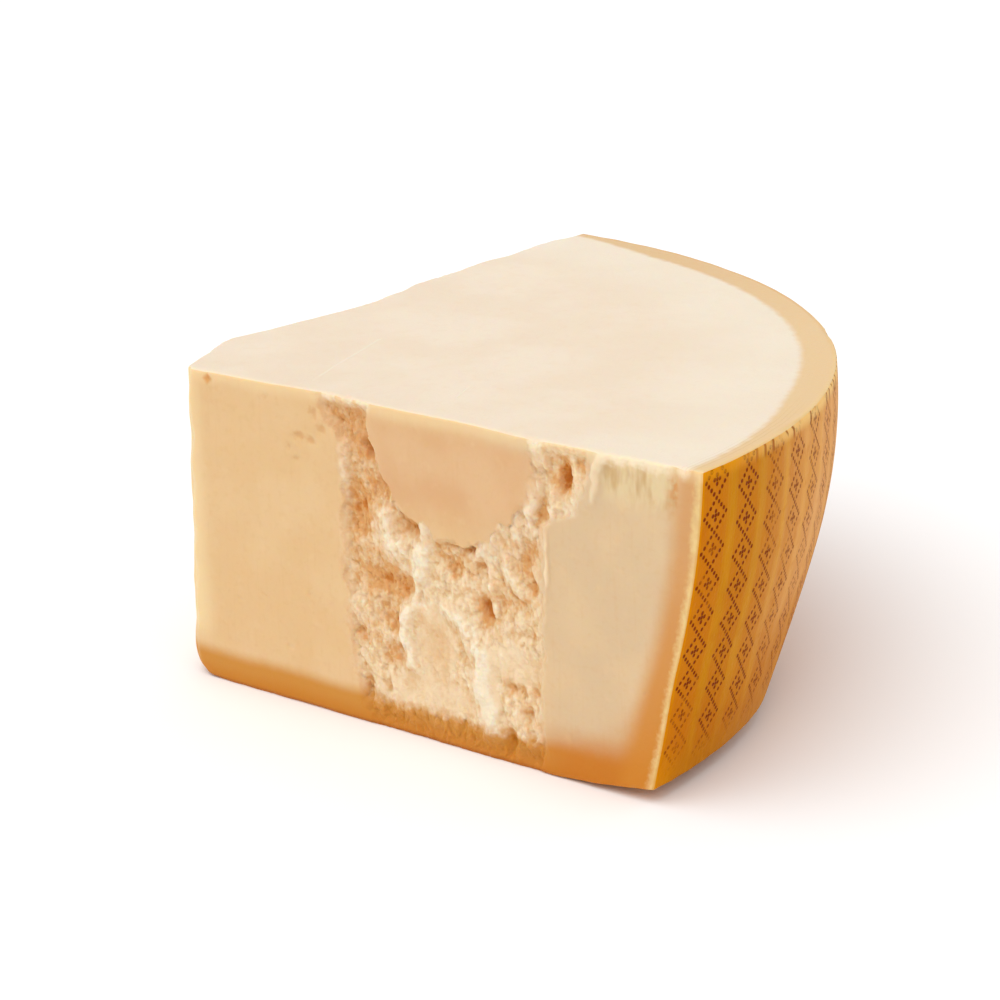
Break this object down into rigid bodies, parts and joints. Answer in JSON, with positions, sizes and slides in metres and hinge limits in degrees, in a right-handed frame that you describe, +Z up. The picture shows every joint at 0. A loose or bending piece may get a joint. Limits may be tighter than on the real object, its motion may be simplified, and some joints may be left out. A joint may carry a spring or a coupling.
{
  "type": "parmesan chunk",
  "caption": "Large wedge of hard grating cheese with its rind, cut from a half-height wheel, with broken, craggy sides.",
  "frame": {"origin": "middle of the footprint, on the surface that the base rests on", "axes": "+Z up through the flat sawn top; the front cut side faces -Y, the back cut side faces -X, and the rind curves round from +X to +Y"},
  "size_m": [0.2134, 0.2222, 0.103],
  "materials": {
    "cheese": "waxy, slightly oily paste, pale straw, with an amber rind"
  },
  "bodies": {
    "root": {"parmesan_chunk": "cheese"}
  },
  "joints": []
}
